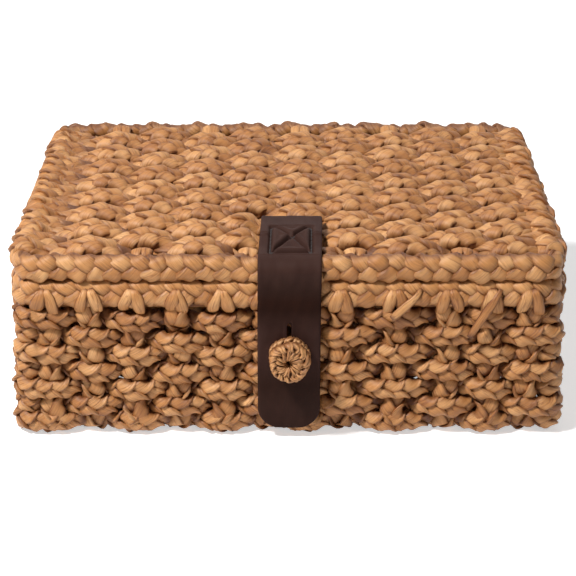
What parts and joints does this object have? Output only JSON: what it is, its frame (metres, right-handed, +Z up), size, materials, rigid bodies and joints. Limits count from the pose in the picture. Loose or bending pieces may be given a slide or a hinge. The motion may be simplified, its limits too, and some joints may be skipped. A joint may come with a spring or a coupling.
{
  "type": "woven lidded box",
  "caption": "Shallow rectangular storage box woven from plaited plant-fibre cord, with a hinged woven lid held shut by a leather strap that buttons over a plaited knot.",
  "frame": {"origin": "middle of the base, on the surface that the box rests on", "axes": "+X to the right along the long side, +Y to the back where the hinge is, +Z up"},
  "size_m": [0.3067, 0.2466, 0.1083],
  "materials": {
    "wall_braid": "satin plaited plant fibre",
    "stake_braid": "satin plaited plant fibre",
    "base_braid": "satin plaited plant fibre",
    "lid_braid": "satin plaited plant fibre",
    "rim_plait": "satin plaited plant fibre",
    "border_plait": "satin plaited plant fibre",
    "knot_plait": "satin plaited plant fibre",
    "raffia_cord": "dry twisted fibre",
    "frame_wire": "dull coated steel wire",
    "strap_leather": "smooth dark brown leather",
    "strap_thread": "waxed dark thread"
  },
  "bodies": {
    "box": {"wall_row_01": "wall_braid", "wall_row_02": "wall_braid", "wall_row_03": "wall_braid", "wall_row_04": "wall_braid", "wall_row_05": "wall_braid", "wall_row_06": "wall_braid", "wall_row_07": "wall_braid", "long_stake_01": "stake_braid", "long_stake_02": "stake_braid", "long_stake_03": "stake_braid", "long_stake_04": "stake_braid", "long_stake_05": "stake_braid", "long_stake_06": "stake_braid", "long_stake_07": "stake_braid", "long_stake_08": "stake_braid", "long_stake_09": "stake_braid", "long_stake_10": "stake_braid", "long_stake_11": "stake_braid", "long_stake_12": "stake_braid", "cross_stake_01": "stake_braid", "cross_stake_02": "stake_braid", "cross_stake_03": "stake_braid", "cross_stake_04": "stake_braid", "cross_stake_05": "stake_braid", "cross_stake_06": "stake_braid", "cross_stake_07": "stake_braid", "base_row_01": "base_braid", "base_row_02": "base_braid", "base_row_03": "base_braid", "base_row_04": "base_braid", "base_row_05": "base_braid", "base_row_06": "base_braid", "box_rim": "rim_plait", "knot_button": "knot_plait", "knot_cord": "raffia_cord", "hinge_loop_left": "raffia_cord", "hinge_loop_right": "raffia_cord"},
    "lid": {"lid_row_01": "lid_braid", "lid_row_02": "lid_braid", "lid_row_03": "lid_braid", "lid_row_04": "lid_braid", "lid_row_05": "lid_braid", "lid_row_06": "lid_braid", "lid_row_07": "lid_braid", "lid_row_08": "lid_braid", "lid_row_09": "lid_braid", "lid_row_10": "lid_braid", "lid_row_11": "lid_braid", "lid_row_12": "lid_braid", "lid_row_13": "lid_braid", "lid_row_14": "lid_braid", "lid_row_15": "lid_braid", "lid_row_16": "lid_braid", "lid_frame": "frame_wire", "lid_border": "border_plait", "strap_anchor": "strap_leather", "strap_stitching": "strap_thread"},
    "strap": {"strap_flap": "strap_leather"}
  },
  "joints": [
    {"name": "lid_hinge", "type": "hinge", "parent": "box", "child": "lid", "pos_m": [0, 0.1083, 0.0983], "axis": [-1, 0, 0], "range_deg": [0, 180]},
    {"name": "strap_bend", "type": "hinge", "parent": "lid", "child": "strap", "pos_m": [0, -0.1083, 0.1067], "axis": [-1, 0, 0], "range_deg": [0, 150], "deforming": ["strap_flap"]}
  ]
}
